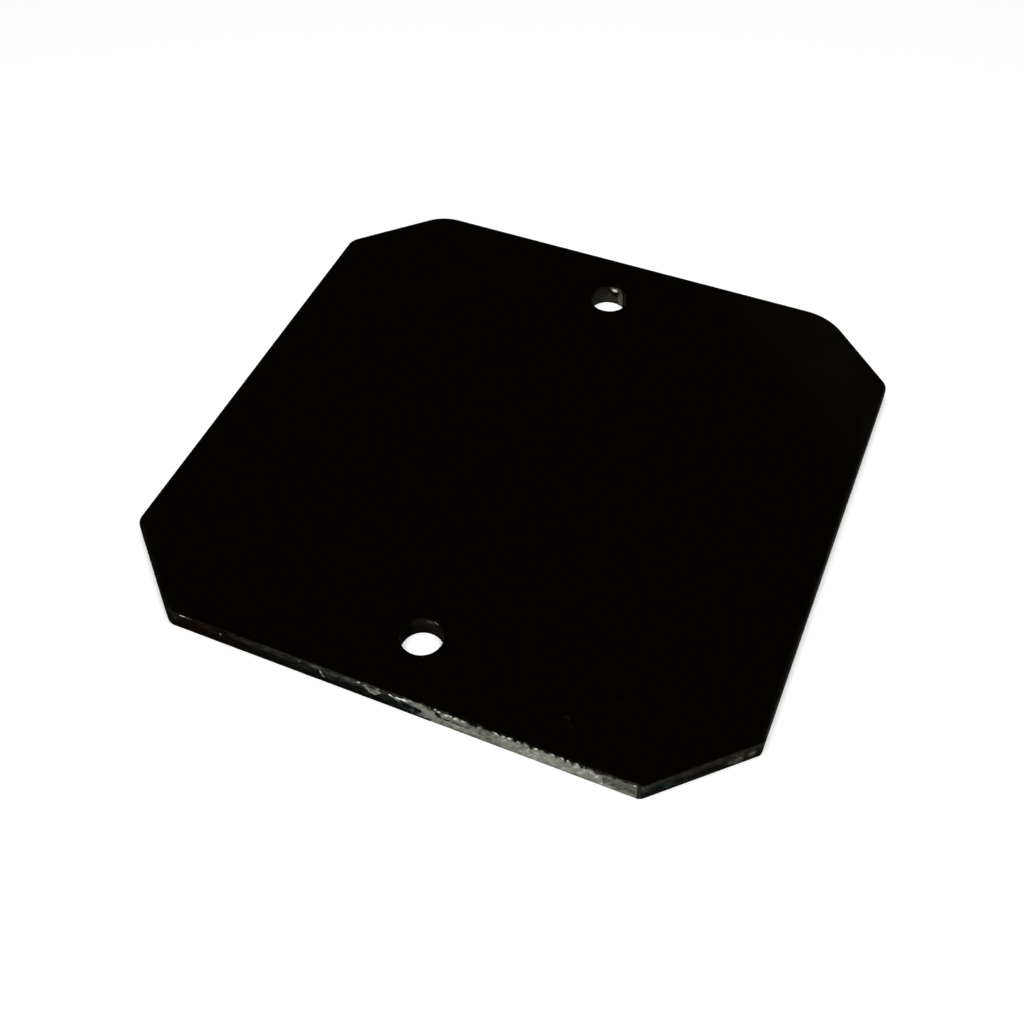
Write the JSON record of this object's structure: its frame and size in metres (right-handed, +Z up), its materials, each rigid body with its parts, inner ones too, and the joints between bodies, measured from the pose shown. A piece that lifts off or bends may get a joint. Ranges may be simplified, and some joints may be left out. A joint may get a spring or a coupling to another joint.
{
  "type": "cover plate",
  "caption": "Flat square steel cover plate with clipped corners and bolt holes on its centre line, coated black, one cut edge partly bare.",
  "frame": {"origin": "centre of the underside, which lies on the surface that the plate rests on", "axes": "+Z up through the thickness, +Y along the line of the bolt holes, away from the partly bare sheared edge"},
  "size_m": [0.0962, 0.0962, 0.0036],
  "materials": {
    "black_coat": "black coat on sheared steel, bare on half of one edge"
  },
  "bodies": {
    "root": {"cover_plate": "black_coat"}
  },
  "joints": []
}
